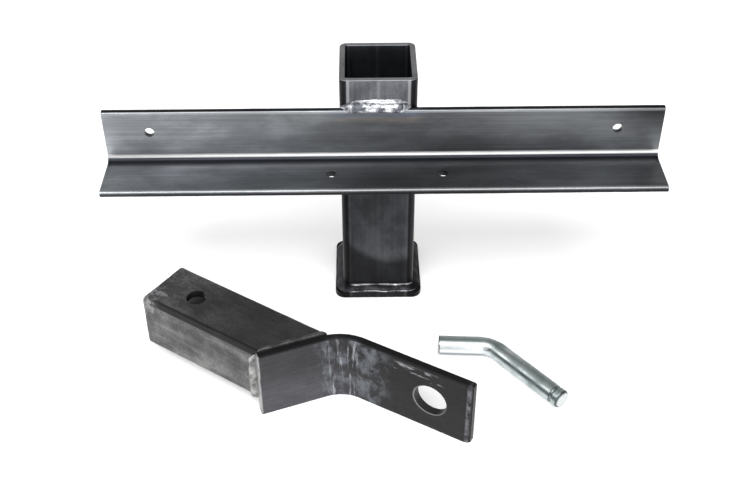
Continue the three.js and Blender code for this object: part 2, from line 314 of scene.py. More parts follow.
def tubeSection(outHalf, outCorner, inHalf, inCorner, low, high, rim, rows):
    # once round the wall's cut: up the outside, over the rim, down the inside, under the foot; each row
    # is outline - normal * inset at its height, on the outer outline or the inner one
    quarter = np.linspace(0, 90, 5)[1:-1] * math.pi / 180
    s, c = rim * (1 - np.sin(quarter)), rim * (1 - np.cos(quarter))
    flat = np.zeros(rows)
    rise, fall = np.linspace(low + rim, high - rim, rows), np.linspace(high - rim, low + rim, rows)
    inset = np.concatenate([flat, c, [rim, -rim], -s, flat, -c, [-rim, rim], s])[:, None, None]
    z = np.concatenate([rise, high - s, [high, high], high - c, fall, low + s, [low, low], low + c])
    corner = len(quarter) + 1
    onInner = np.repeat([False, True, False], [rows + corner, rows + 2 * corner, corner])[:, None, None]
    outer, outNormal = roundedSquare(outHalf, outCorner)
    inner, inNormal = roundedSquare(inHalf, inCorner)
    normal = np.where(onInner, inNormal[None], outNormal[None])
    plan = np.where(onInner, inner[None], outer[None]) - normal * inset
    return np.concatenate([plan, np.broadcast_to(z[:, None, None], plan.shape[:2] + (1,))], -1)


def makeTube():
    # the wall's cut carried round the square outline, with one rod through both side faces
    grid = tubeSection(tube["half"], tube["corner"], tube["half"] - tube["wall"], tube["insideCorner"],
                       0, tube["height"], tube["rim"], tube["rows"])
    grid = grid * mm + np.array([tubeX, tubeY, 0])
    piece = gridPiece("receiverTube", grid, "receiver", ["receiver_tube"], closeU=True)
    at = (tubeX, tubeY, tube["holeUp"] * mm)
    drillHoles(piece, [(at, (1, 0, 0), tube["holeRadius"] * mm, tube["drill"] * mm)])
    shadeSmooth(piece)
    return piece


receiverTube = makeTube()
print("receiver tube made")


angle = {
    "leg": 50.8,
    "wall": 4.76,
    "root": 6.0,
    "toe": 3.0,
    "heelRound": 0.8,
    "edgeRound": 0.5,
    "waver": 0.06,     # how far the rolled faces are from flat
    "rows": 240,
    "outerHoles": (-187.4, 195.8, 31.7),   # from the tube, above the heel
    "innerHoles": (-38.8, 52.4, 28.2),     # from the tube, out from the back
    "holeRadius": 4.1,
    "drill": 30.0,
}


def arc(cx, cy, radius, start, end, steps):
    # middle + radius * (cos, sin) from one turn to another, in degrees
    turn = np.radians(np.linspace(start, end, steps + 1))
    return np.stack([cx + radius * np.cos(turn), cy + radius * np.sin(turn)], -1)


def line(a, b, steps):
    # a + (b - a) * t in equal steps, without the two ends
    return np.asarray(a) + (np.asarray(b) - np.asarray(a)) * np.linspace(0, 1, steps + 1)[1:-1, None]


def angleProfile():
    # heel at the origin, one leg forward, one up; sharp outer heel, rounded root and toes
    leg, wall, root, toe, heel, edge = (
        angle[k] for k in ("leg", "wall", "root", "toe", "heelRound", "edgeRound"))
    bits = [
        arc(heel, heel, heel, 180, 270, 3),
        line((heel, 0), (leg - edge, 0), 14),
        arc(leg - edge, edge, edge, 270, 360, 3),
        arc(leg - toe, wall - toe, toe, 0, 90, 8),
        line((leg - toe, wall), (wall + root, wall), 14),
        arc(wall + root, wall + root, root, 270, 180, 12),
        line((wall, wall + root), (wall, leg - toe), 14),
        arc(wall - toe, leg - toe, toe, 0, 90, 8),
        arc(edge, leg - edge, edge, 90, 180, 3),
        line((0, leg - edge), (0, heel), 14),
    ]
    return np.concatenate(bits)


def makeAngle():
    # the profile carried along x: place = profile + inward * (shrink + waver), where the last two rows
    # at each sawn end draw in; then four bolt holes
    low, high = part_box("cross_angle")
    profile = angleProfile()
    rows, cut = angle["rows"], 0.0006      # the cut's share of the length
    along = np.concatenate([[0, 0], np.linspace(cut, 1 - cut, rows), [1, 1]])
    shrink = np.concatenate([[0.5, 0.35], np.zeros(rows), [0.35, 0.5]])
    nxt, prv = np.roll(profile, -1, 0), np.roll(profile, 1, 0)
    tangent = nxt - prv
    inward = np.stack([-tangent[:, 1], tangent[:, 0]], -1)
    inward /= np.linalg.norm(inward, axis=1, keepdims=True)
    plan = profile[None] + inward[None] * shrink[:, None, None]
    wave = smoothNoise((len(along), len(profile)), (40, 10), 5) * angle["waver"]
    plan = plan + inward[None] * wave[..., None]
    x = low.x + (high.x - low.x) * along
    x[1] += 0.0002
    x[-2] -= 0.0002
    grid = np.empty(plan.shape[:2] + (3,))
    grid[..., 0] = x[:, None]
    grid[..., 1] = high.y - plan[..., 0] * mm
    grid[..., 2] = low.z + plan[..., 1] * mm
    piece = gridPiece("crossAngle", grid, "receiver", ["cross_angle"])
    size = (angle["holeRadius"] * mm, angle["drill"] * mm)
    outerUp, innerOut = angle["outerHoles"][2] * mm, angle["innerHoles"][2] * mm
    holes = [((tubeX + k * mm, high.y, low.z + outerUp), (0, 1, 0), *size) for k in angle["outerHoles"][:2]]
    holes += [((tubeX + k * mm, high.y - innerOut, low.z), (0, 0, 1), *size) for k in angle["innerHoles"][:2]]
    drillHoles(piece, holes)
    shadeSmooth(piece)
    return piece


crossAngle = makeAngle()
print("cross angle made")

collar = {
    "half": 39.0,
    "corner": 8.5,
    "fit": 0.05,
    "height": 6.35,
    "rim": 0.9,
    "rows": 4,
    "waver": 0.06,
}


def makeCollar():
    # the same cut carried round a low, wide square ring, then place + outward * waver
    inside = tube["half"] + collar["fit"]
    grid = tubeSection(collar["half"], collar["corner"], inside, tube["corner"] + collar["fit"],
                       0, collar["height"], collar["rim"], collar["rows"])
    wave = smoothNoise((grid.shape[0], grid.shape[1]), (6, 40), 11) * collar["waver"]
    outward = grid.copy()
    outward[..., 2] = 0
    grid = grid + outward / np.linalg.norm(outward, axis=-1, keepdims=True) * wave[..., None]
    grid = grid * mm + np.array([tubeX, tubeY, 0])
    piece = gridPiece("mouthCollar", grid, "receiver", ["mouth_collar"], closeU=True)
    shadeSmooth(piece)
    return piece


fillet = {
    "points": 15,         # across the face
    "legWaver": 0.13,
    "phaseWaver": 0.35,
    "sunk": 0.4,          # mm that the hidden corner lies inside the steel
    "toeIn": 0.3,
    "endScale": 0.02,
}


def beadGrid(spine, out, up, weld, closed=False):
    # fillet from the out toe over its face to the up toe, its corner sunk in the steel: face runs 0 to 1,
    # p = out leg * (1 - face) * swell, q = up leg * face * swell - drop * (1 - face) ^ 3, with
    # swell = 1 + bulge * arch + ripple * |sin(pi * phase)| ^ 0.7 * arch ^ 0.5 and arch = sin(pi * face);
    # the legs waver along the run, and shrink to nothing at an open run's ends
    count = len(spine)
    step = np.linalg.norm(np.diff(spine, axis=0), axis=1)
    along = np.concatenate([[0], np.cumsum(step)]) / mm
    length = along[-1]
    face = np.linspace(0, 1, fillet["points"])
    cells = max(3, int(length / weld["waver"]))
    outLeg = weld["out"] * (1 + fillet["legWaver"] * smoothNoise((count,), (cells,), weld["seed"], closed))
    upLeg = weld["up"] * (1 + fillet["legWaver"] * smoothNoise((count,), (cells,), weld["seed"] + 1, closed))
    turns = max(1, round(length / weld["pitch"]))
    phase = turns * along / length if closed else along / weld["pitch"]
    phase = phase[:, None] + weld["bow"] * (2 * face[None] - 1) ** 2
    if not closed:
        phase = phase + fillet["phaseWaver"] * smoothNoise((count,), (cells,), weld["seed"] + 2)[:, None]
    ripple = weld["ripple"] * np.abs(np.sin(math.pi * phase)) ** 0.7
    arch = np.sin(math.pi * face)[None]
    swell = 1 + weld["bulge"] * arch + ripple * arch ** 0.5
    p = outLeg[:, None] * (1 - face[None]) * swell
    q = upLeg[:, None] * face[None] * swell - weld.get("drop", 0) * (1 - face[None]) ** 3
    sunk = np.full((count, 1), -fillet["sunk"])
    p = np.concatenate([sunk, outLeg[:, None] - fillet["toeIn"], p, sunk], 1)
    q = np.concatenate([sunk, sunk - weld.get("drop", 0), q, upLeg[:, None] - fillet["toeIn"]], 1)
    if not closed:
        edge = np.clip(np.minimum(along, length - along) / weld["taper"], 0, 1)
        scale = np.clip(edge, fillet["endScale"], 1)[:, None] ** 0.55
        p, q = p * scale, q * scale
    out = np.broadcast_to(out, (count, 3))
    up = np.broadcast_to(up, (count, 3))
    return spine[:, None] + (out[:, None] * p[..., None] + up[:, None] * q[..., None]) * mm


def run(start, end, step=0.35):
    # start + (end - start) * t in even steps of about this many mm, both ends kept
    start, end = np.asarray(start, float), np.asarray(end, float)
    count = int(np.linalg.norm(end - start) / (step * mm)) + 2
    return start + (end - start) * np.linspace(0, 1, count)[:, None]


collarBead = {"out": 6.3, "up": 4.6, "bulge": 0.08, "ripple": 0.035, "pitch": 3.4, "bow": 0.45, "waver": 9,
              "seed": 21}
topBead = {"out": 5.6, "up": 4.6, "bulge": 0.24, "ripple": 0.11, "pitch": 7.4, "bow": 0.6, "waver": 11,
           "seed": 32, "taper": 8.0, "drop": 1.9, "span": (-31, 26.5)}      # span: mm from the tube's middle
secondBead = {"out": 1.5, "up": 2.9, "bulge": 0.25, "ripple": 0.08, "pitch": 6.0, "bow": 0.4, "waver": 9,
              "seed": 37, "taper": 6.0, "span": (-23, 23.5), "lift": 4}
heelBead = {"out": 5.0, "up": 5.0, "bulge": 0.15, "ripple": 0.06, "pitch": 3.6, "bow": 0.5, "waver": 10,
            "seed": 43, "taper": 2.5, "span": (-25.5, 25.5)}
sideBead = {"out": 5.6, "up": 5.2, "bulge": 0.15, "ripple": 0.06, "pitch": 3.6, "bow": 0.5, "waver": 10,
            "seed": 54, "taper": 2.5, "inset": 1}


def makeCollarBead():
    # fillet carried round the tube's outline on top of the collar, its out leg along the outline's normal
    plan, normal = roundedSquare(tube["half"], tube["corner"], 14, 90)
    plan = np.concatenate([plan, plan[:1]])
    normal = np.concatenate([normal, normal[:1]])
    spine = np.column_stack([plan[:, 0] * mm + tubeX, plan[:, 1] * mm + tubeY,
                             np.full(len(plan), collar["height"] * mm)])
    out = np.column_stack([normal, np.zeros(len(plan))])
    grid = beadGrid(spine, out, (0, 0, 1), collarBead, closed=True)[:-1]
    piece = gridPiece("collarBead", grid, "receiver", ["weld_collar"], closeU=True)
    shadeSmooth(piece, 50)
    return piece


def makeAngleBeads():
    # one fillet on the upright leg's edge, one under the heel, one up each side of the tube
    low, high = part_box("cross_angle")
    front = tubeY - tube["half"] * mm
    beads = []
    rows = [
        ("angleTopBead", "weld_angle_top", topBead, high.z, (0, 0, 1)),
        ("angleSecondBead", "weld_angle_top", secondBead, high.z + secondBead["lift"] * mm, (0, 0, 1)),
        ("angleHeelBead", "weld_angle_heel", heelBead, low.z, (0, 0, -1)),
    ]
    for name, node, weld, z, up in rows:
        left, right = (tubeX + k * mm for k in weld["span"])
        grid = beadGrid(run((left, front, z), (right, front, z)), (0, -1, 0), up, weld)
        beads.append(gridPiece(name, grid, "receiver", [node]))
    inset = sideBead["inset"] * mm
    for side, hand in ((-1, "Left"), (1, "Right")):
        x = tubeX + side * tube["half"] * mm
        upright = run((x, front, low.z + inset), (x, front, high.z - inset))
        grid = beadGrid(upright, (side, 0, 0), (0, 1, 0), dict(sideBead, seed=sideBead["seed"] + side))
        inward = np.array([-side * 3.0, 0.6, 0]) * mm      # the root fills the tube's round corner
        grid[:, 0] += inward
        node = "weld_angle_" + hand.lower()
        beads.append(gridPiece("angle" + hand + "Bead", grid, "receiver", [node]))
    for piece in beads:
        shadeSmooth(piece, 50)
    return beads


mouthCollar = makeCollar()
collarFillet = makeCollarBead()
angleBeads = makeAngleBeads()
print("collar and the receiver's welds made")


shank = {
    "width": 50.8,
    "wall": 6.35,
    "corner": 4.0,
    "insideCorner": 1.5,
    "front": 119.0,
    "rim": 0.8,
    "rows": 60,
    "dent": 0.09,
    "nick": 0.25,       # how uneven the open end is, over this length
    "nickLength": 2.5,
    "holeAlong": 37.5,
    "holeRadius": 8.5,
    "drill": 120.0,
}
strap = {
    "width": 63.5,
    "thick": 7.0,
    "edge": 1.1,        # rounding of the long edges
    "lean": 55.0,
    "run": 3.4,
    "bend": 33.5,
    "corner": 165.4,
    "overhang": 12.7,
    "start": -4.2,
    "end": 280.5,
    "holeAlong": 244.8,
    "holeRadius": 14.3,
    "drill": 40.0,
    "wrinkle": 0.22,
    "waver": 0.07,
    "leanSteps": 60,
    "bendSteps": 90,
    "runSteps": 120,
    "shearRoll": (6.5, 2.1),      # length from the far end, and how far its front edge rolls back
    "shearPull": (2.2, 1.3),      # and how far its two corners draw in
    "startPull": (1.2, 0.8),      # the same for the welded end's faces
    "torn": (3.0, 0.5),           # and how ragged that end is
}

endMount = next(m for m in record["mounts"] if m["name"] == "shank_end")
mountAlong = -np.array(endMount["axis"], float)
mountAcross = np.array([-mountAlong[1], mountAlong[0], 0.0])
mountFoot = np.array(endMount["pos_m"], float) - mountAcross * shank["width"] / 2 * mm
mountFoot[2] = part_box("shank_tube")[0].z


def onMount(along, across, up):
    # foot + along * run + across * side + up, in metres in the room
    along, across, up = np.broadcast_arrays(along, across, up)
    return (mountFoot + (along[..., None] * mountAlong + across[..., None] * mountAcross) * mm
            + up[..., None] * np.array([0, 0, mm]))


def makeShank():
    # square tube cut carried along its run, each row slid along by across / tan(lean) in proportion, so
    # that the far end meets the leaning strap; then dents, nicks at the open end and a cross hole
    half = shank["width"] / 2
    grid = tubeSection(half, shank["corner"], half - shank["wall"], shank["insideCorner"],
                       0, shank["front"], shank["rim"], shank["rows"])
    slope = 1 / math.tan(math.radians(strap["lean"]))
    across, up, along = grid[..., 0] + half, grid[..., 1] + half, grid[..., 2]
    dent = smoothNoise(across.shape, (24, 30), 61) * shank["dent"]
    across = across + dent * np.sign(across - half)
    up = up + dent * np.sign(up - half)
    along = along + slope * across * along / shank["front"]
    nicks = smoothNoise(across.shape, (50, 60), 62)
    along = along + np.where(along < shank["nickLength"], shank["nick"] * nicks, 0)
    piece = gridPiece("shankTube", onMount(along, across, up), "ball_mount", ["shank_tube"],
                      closeU=True)
    middle = onMount(shank["holeAlong"], half, half)
    drillHoles(piece, [(middle, (0, 0, 1), shank["holeRadius"] * mm, shank["drill"] * mm)])
    shadeSmooth(piece)
    return piece


def strapCorner():
    # how far across the two straight faces would meet: (corner - face at the start) * tan(lean)
    lean = math.radians(strap["lean"])
    return (strap["corner"] - (shank["front"] + strap["thick"] / math.sin(lean))) * math.tan(lean)


def strapPath():
    # front face in plan: a straight lean, an arc about the bend's middle and a straight run, whose steps
    # close up towards the end; gives places, turns, lengths and how far each place is bent
    lean, runTurn = math.radians(strap["lean"]), math.radians(strap["run"])
    cornerUp = strapCorner()
    radius = strap["bend"] - strap["thick"] / 2
    tangent = radius * math.tan((lean - runTurn) / 2)
    corner = np.array([strap["corner"], cornerUp])
    leanWay = np.array([math.cos(lean), math.sin(lean)])
    runWay = np.array([math.cos(runTurn), math.sin(runTurn)])
    start = corner - leanWay * (cornerUp - strap["start"]) / math.sin(lean)
    bendStart = corner - leanWay * tangent
    bendEnd = corner + runWay * tangent
    end = corner + runWay * (strap["end"] - strap["corner"]) / math.cos(runTurn)
    centre = bendStart + radius * np.array([math.sin(lean), -math.cos(lean)])
    leanSteps, bendSteps, runSteps = (strap[k] for k in ("leanSteps", "bendSteps", "runSteps"))
    turn = np.linspace(lean, runTurn, bendSteps + 1)
    bendLine = centre + radius * np.stack([-np.sin(turn), np.cos(turn)], -1)
    leanLine = start + (bendStart - start) * np.linspace(0, 1, leanSteps + 1)[:-1, None]
    runLine = bendEnd + (end - bendEnd) * (1 - (1 - np.linspace(0, 1, runSteps + 1)[1:, None]) ** 1.35)
    places = np.concatenate([leanLine, bendLine, runLine])
    turns = np.concatenate([np.full(leanSteps, lean), turn, np.full(runSteps, runTurn)])
    lengths = np.concatenate([[0], np.cumsum(np.linalg.norm(np.diff(places, axis=0), axis=1))])
    rise = np.sin(np.linspace(0, math.pi, bendSteps + 1)) ** 0.6
    bent = np.concatenate([np.zeros(leanSteps), rise, np.zeros(runSteps)])
    return places, turns, lengths, bent


def strapSection():
    # flat bar's outline as depth and height: front face up, over the top edge, down the back
    t, w, r = strap["thick"], strap["width"], strap["edge"]
    bits = [
        line((0, r), (0, w - r), 64),
        arc(r, w - r, r, 180, 90, 5),
        line((r, w), (t - r, w), 6),
        arc(t - r, w - r, r, 90, 0, 5),
        line((t, w - r), (t, r), 64),
        arc(t - r, r, r, 0, -90, 5),
        line((t - r, 0), (r, 0), 6),
        arc(r, r, r, 270, 180, 5),
    ]
    return np.concatenate(bits)


def makeStrap():
    # flat bar carried along the plan line, place - depth * (sin, -cos) of its turn; the bend squeezes the
    # front face into upright wrinkles and swells the top edge; the sheared far end rolls back by
    # (1 - distance / length) ^ 2, the welded end is ragged
    places, turns, lengths, bent = strapPath()
    section = strapSection()
    depth = np.broadcast_to(section[None, :, 0], (len(places), len(section))).copy()
    height = np.broadcast_to(section[None, :, 1], depth.shape).copy()
    frontSide = 1 - depth / strap["thick"]
    level = height / strap["width"]
    creases = smoothNoise(depth.shape, (150, 12), 71) + 0.7 * smoothNoise(depth.shape, (260, 20), 72)
    depth += strap["wrinkle"] * np.maximum(creases, -0.2) * bent[:, None] * frontSide
    depth += strap["waver"] * smoothNoise(depth.shape, (60, 40), 73) * frontSide
    topBulge = np.clip((level - 0.9) / 0.1, 0, 1)
    height += bent[:, None] * topBulge * (0.9 * frontSide - 0.5 * (1 - frontSide))
    fromEnd = lengths[-1] - lengths
    reach, back = strap["shearRoll"]
    roll = np.clip(1 - fromEnd / reach, 0, 1) ** 2
    depth += back * roll[:, None] * np.clip(frontSide * 1.6 - 0.6, 0, 1)
    reach, back = strap["shearPull"]
    pull = np.clip(1 - fromEnd / reach, 0, 1) ** 2
    height += pull[:, None] * back * (0.5 - level) * 2 * np.clip((np.abs(level - 0.5) - 0.44) / 0.06, 0, 1)
    reach, back = strap["startPull"]
    startPull = np.clip(1 - lengths / reach, 0, 1) ** 2
    depth += startPull[:, None] * back * (0.5 - depth / strap["thick"]) * 2
    reach, back = strap["torn"]
    torn = np.clip(1 - lengths / reach, 0, 1)[:, None] * smoothNoise(depth.shape, (4, 26), 74) * back
    sines, cosines = np.sin(turns)[:, None], np.cos(turns)[:, None]
    along = places[:, 0:1] - sines * depth + torn * cosines
    across = places[:, 1:2] + cosines * depth + torn * sines
    grid = onMount(along, across, height - strap["overhang"])
    grid[..., 2] = np.maximum(grid[..., 2], 0)
    chart = np.stack(np.broadcast_arrays(lengths[:, None] * mm, height * mm), -1)
    piece = gridPiece("tongueStrap", grid, "ball_mount", ["tongue_strap"], chart=chart)
    runTurn = math.radians(strap["run"])
    faceAcross = strapCorner() + (strap["holeAlong"] - strap["corner"]) * math.tan(runTurn)
    middle = onMount(strap["holeAlong"], faceAcross, strap["width"] / 2 - strap["overhang"])
    axis = -math.sin(runTurn) * mountAlong + math.cos(runTurn) * mountAcross
    drillHoles(piece, [(middle, axis, strap["holeRadius"] * mm, strap["drill"] * mm)])
    shadeSmooth(piece, 40)
    return piece


shankTopBead = {"out": 5.0, "up": 2.1, "bulge": 0.22, "ripple": 0.03, "pitch": 3.2, "bow": 0.5, "waver": 7,
                "seed": 81, "taper": 3.5}
shankBottomBead = {"out": 5.0, "up": 5.0, "bulge": 0.15, "ripple": 0.06, "pitch": 3.4, "bow": 0.5, "waver": 8,
                   "seed": 84, "taper": 3.0}
shankFrontBead = {"out": 3.9, "up": 5.8, "bulge": 0.2, "ripple": 0.05, "pitch": 3.2, "bow": 0.5, "waver": 7,
                  "seed": 87, "taper": 3.0}
shankBackBead = {"out": 4.6, "up": 5.0, "bulge": 0.15, "ripple": 0.07, "pitch": 3.6, "bow": 0.5, "waver": 8,
                 "seed": 90, "taper": 3.0}


def makeMountBeads():
    # fillets between the shank's oblique end and the strap: over the top, beneath, front and back;
    # a joint's place is the front corner + lean * distance, at its height
    lean = math.radians(strap["lean"])
    full = shank["width"] / math.sin(lean)
    leanWay = np.array([math.cos(lean), math.sin(lean)])
    wayIn = leanWay[0] * mountAlong + leanWay[1] * mountAcross
    back = -math.sin(lean) * mountAlong + math.cos(lean) * mountAcross

    def joint(distance, up):
        return onMount(shank["front"] + leanWay[0] * distance, leanWay[1] * distance, up)

    top = shank["width"]
    rows = [
        ("Top", shankTopBead, joint(2, top), joint(full - 2, top), back, (0, 0, 1)),
        ("Bottom", shankBottomBead, joint(4, 0), joint(full - 4, 0), back, (0, 0, -1)),
        ("Front", shankFrontBead, joint(0, 1.5), joint(0, 49), -mountAlong, -wayIn),
        ("Back", shankBackBead, joint(full, 4), joint(full, 47), -mountAlong, wayIn),
    ]
    beads = []
    for hand, weld, start, end, out, up in rows:
        grid = beadGrid(run(start, end), out, up, weld)
        node = "weld_shank_" + hand.lower()
        beads.append(gridPiece("shank" + hand + "Bead", grid, "ball_mount", [node]))
    for piece in beads:
        shadeSmooth(piece, 50)
    return beads


shankTube = makeShank()
tongueStrap = makeStrap()
mountBeads = makeMountBeads()
print("ball mount made")


pin = {
    "radius": 7.94,
    "bend": 22.0,
    "shortArm": 45.3,
    "longArm": 83.0,
    "shortTurn": -3.5,
    "longTurn": -51.2,
    "grooveFromEnd": 6.6,
    "grooveWidth": 3.0,
    "grooveDepth": 1.4,
    "sawnEdge": 0.6,
    "endChamfer": 2.0,
    "sides": 72,
    "flatten": 0.035,
    "wrinkle": 0.16,
    "waver": 0.03,
}


def makePin():
    # round bar carried along a straight arm, an arc and a straight arm: place + side * r * cos(theta),
    # lifted by r * sin(theta); r follows the sawn start, the groove and the chamfered end, is less at the
    # bend's inside and outside by a small share, and is wrinkled inside the bend
    a, b = math.radians(pin["shortTurn"]), math.radians(pin["longTurn"])
    tangent = pin["bend"] * math.tan((a - b) / 2)
    first = pin["shortArm"] - tangent
    bendLength = pin["bend"] * (a - b)
    total = first + bendLength + pin["longArm"] - tangent
    grooveAt = total - pin["grooveFromEnd"] - pin["grooveWidth"]
    grooveEnd = grooveAt + pin["grooveWidth"]
    chamferAt = total - pin["endChamfer"]
    g = pin["grooveDepth"]
    cuts = [                       # place along the bar, depth cut
        (0, pin["sawnEdge"]), (0.25, 0.25), (0.6, 0),
        (grooveAt - 0.12, 0), (grooveAt, 0.3), (grooveAt + 0.1, g - 0.25), (grooveAt + 0.5, g),
        (grooveEnd - 0.5, g), (grooveEnd - 0.1, g - 0.25), (grooveEnd, 0.3), (grooveEnd + 0.12, 0),
        (chamferAt, 0), (total - pin["endChamfer"] / 2, 0.8), (total - 0.2, 1.9), (total, 2.4)]
    cutAt, cutBy = np.array(cuts).T
    stops = np.concatenate([
        cutAt[:3], [1.0], np.linspace(1.6, first, 24)[:-1], np.linspace(first, first + bendLength, 70),
        np.linspace(first + bendLength, grooveAt - 0.4, 46)[1:],
        cutAt[3:11], [chamferAt - 0.3], cutAt[11:]])
    cutIn = np.interp(stops, cutAt, cutBy)
    turn = a - np.clip(stops - first, 0, bendLength) / pin["bend"]
    way = np.stack([np.cos(turn), np.sin(turn)], -1)
    elbow = np.array([first * math.cos(a), first * math.sin(a)])
    onArm = np.stack([np.interp(stops, [0, first], [0, k]) for k in elbow], -1)
    centre = elbow + pin["bend"] * np.array([math.sin(a), -math.cos(a)])
    onArc = centre + pin["bend"] * np.stack([-np.sin(turn), np.cos(turn)], -1)
    beyond = np.clip(stops - first - bendLength, 0, None)[:, None]
    plan = np.where((stops < first)[:, None], onArm, onArc + beyond * way)
    theta = np.linspace(0, 2 * math.pi, pin["sides"], endpoint=False)
    bent = np.clip(np.minimum(stops - first, first + bendLength - stops) / 4, 0, 1)
    bent = (bent * bent * (3 - 2 * bent))[:, None]
    inner = np.clip(-np.cos(theta), 0, 1)[None]
    shape = (len(stops), len(theta))
    creases = smoothNoise(shape, (90, 14), 101) + 0.6 * smoothNoise(shape, (60, 30), 102)
    radius = (pin["radius"] - cutIn[:, None]) * (1 - pin["flatten"] * bent * np.abs(np.cos(theta))[None])
    wave = smoothNoise(shape, (30, 12), 103)
    radius = radius + pin["wrinkle"] * creases * bent * inner + pin["waver"] * wave
    side = np.stack([-way[:, 1], way[:, 0]], -1)
    plane = plan[:, None] + side[:, None] * (radius * np.cos(theta))[..., None]
    low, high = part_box("hitch_pin")
    r = pin["radius"] * mm
    start = np.array([low.x + r * math.sin(-a), high.y - r * math.cos(a)])
    up = radius * np.sin(theta) * mm + low.z + r
    grid = np.concatenate([plane * mm + start, up[..., None]], -1)
    grid[..., 2] = np.maximum(grid[..., 2], 0)
    pin["tip"] = plan[-1] * mm + start      # where the finish finds the pin's end
    piece = gridPiece("hitchPin", grid, "pin", ["hitch_pin"])
    shadeSmooth(piece, 40)
    return piece


hitchPin = makePin()
print("hitch pin made")


class Sheet:
    # a short hand for building a material's nodes; places in metres, on the object or along its own chart

    def __init__(self, name, metal, turn=0.0, origin=(0, 0, 0), chart=False):
        self.material = bpy.data.materials.new(name)
        self.material.use_nodes = True
        self.tree = self.material.node_tree
        self.shader = self.tree.nodes["Principled BSDF"]
        self.shader.inputs["Metallic"].default_value = metal
        source = self.add("ShaderNodeTexCoord")
        moved = self.add("ShaderNodeMapping", vector_type="TEXTURE")
        moved.inputs["Location"].default_value = origin
        moved.inputs["Rotation"].default_value = (0, 0, math.radians(turn))
        self.link(source.outputs["Object"], moved.inputs["Vector"])
        self.place = source.outputs["UV"] if chart else moved.outputs["Vector"]
        split = self.add("ShaderNodeSeparateXYZ")
        self.link(self.place, split.inputs["Vector"])
        self.x, self.y, self.z = (split.outputs[k] for k in "XYZ")

    def add(self, kind, **settings):
        made = self.tree.nodes.new(kind)
        for key, value in settings.items():
            setattr(made, key, value)
        return made

    def link(self, a, b):
        self.tree.links.new(a, b)

    def noise(self, scale, stretch=(1, 1, 1), detail=4, rough=0.55):
        mapping = self.add("ShaderNodeMapping")
        mapping.inputs["Scale"].default_value = stretch
        self.link(self.place, mapping.inputs["Vector"])
        made = self.add("ShaderNodeTexNoise")
        made.inputs["Scale"].default_value = scale
        made.inputs["Detail"].default_value = detail
        made.inputs["Roughness"].default_value = rough
        self.link(mapping.outputs["Vector"], made.inputs["Vector"])
        return made.outputs["Fac"]

    def ramp(self, source, stops):
        made = self.add("ShaderNodeValToRGB")
        ramp = made.color_ramp
        while len(ramp.elements) < len(stops):
            ramp.elements.new(0.5)
        for element, (at, colour) in zip(ramp.elements, stops):
            element.position = at
            shade = (colour,) * 3 if isinstance(colour, (int, float)) else colour
            element.color = (*shade, 1)
        self.link(source, made.inputs["Fac"])
        return made.outputs["Color"]

    def span(self, source, low, high, toLow=0.0, toHigh=1.0):
        # smooth step from one value to another between two places
        made = self.add("ShaderNodeMapRange", interpolation_type="SMOOTHSTEP")
        for socket, value in zip(("From Min", "From Max", "To Min", "To Max"), (low, high, toLow, toHigh)):
            made.inputs[socket].default_value = value
        self.link(source, made.inputs["Value"])
        return made.outputs["Result"]

    def below(self, source, low, high):
        # 1 under the first place, 0 over the second
        return self.span(source, low, high, 1.0, 0.0)

    def band(self, source, low, high, soft):
        # 1 between two places, 0 outside
        rise = self.span(source, low - soft, low + soft)
        return self.times(rise, self.below(source, high - soft, high + soft))

    def fill(self, socket, value):
        # a number stands for a grey in a colour's socket; nothing leaves the socket alone
        if isinstance(value, (int, float)):
            socket.default_value = (value, value, value, 1) if socket.type == "RGBA" else value
        elif isinstance(value, tuple):
            socket.default_value = (*value, 1)
        elif value is not None:
            self.link(value, socket)

    def math(self, operation, a, b=None, c=None):
        made = self.add("ShaderNodeMath", operation=operation)
        for socket, value in zip(made.inputs, (a, b, c)):
            self.fill(socket, value)
        return made.outputs["Value"]

    def times(self, first, *others):
        for other in others:
            first = self.math("MULTIPLY", first, other)
        return first

    def away(self, source, middle):
        # distance to either side of a middle
        return self.math("ABSOLUTE", self.math("SUBTRACT", source, middle))

    def mix(self, factor, a, b, blend="MIX"):
        made = self.add("ShaderNodeMix", data_type="RGBA", blend_type=blend)
        for number, value in ((0, factor), (6, a), (7, b)):
            self.fill(made.inputs[number], value)
        return made.outputs[2]

    def tone(self, by):
        # the colour so far, multiplied
        self.colour = self.mix(1.0, self.colour, by, "MULTIPLY")

    def paint(self, shade, amount, *masks):
        # the shade laid over the colour so far by masks * amount
        self.colour = self.mix(self.times(self.times(*masks), amount), self.colour, shade)

    def dark(self, where, amount=0.9):
        # lays a near black painted shade over the colour so far
        self.paint((0.008, 0.008, 0.009), amount, where)

    def ring(self, a, middleA, b, middleB, radius):
        # 1 within the radius of a line through two middles, 0 outside
        offA = self.math("POWER", self.math("SUBTRACT", a, middleA), 2.0)
        offB = self.math("POWER", self.math("SUBTRACT", b, middleB), 2.0)
        return self.below(self.math("SQRT", self.math("ADD", offA, offB)), radius - 0.0001, radius + 0.0003)

    def blend(self, parts):
        # weighted sum of several patterns
        total = None
        for pattern, weight in parts:
            part = self.times(pattern, weight)
            total = part if total is None else self.math("ADD", total, part)
        return total

    def finish(self, rough, height, strength, distance=0.0003):
        self.link(self.colour, self.shader.inputs["Base Color"])
        self.link(rough, self.shader.inputs["Roughness"])
        made = self.add("ShaderNodeBump")
        made.inputs["Strength"].default_value = strength
        made.inputs["Distance"].default_value = distance
        self.link(height, made.inputs["Height"])
        self.link(made.outputs["Normal"], self.shader.inputs["Normal"])
        return self.material


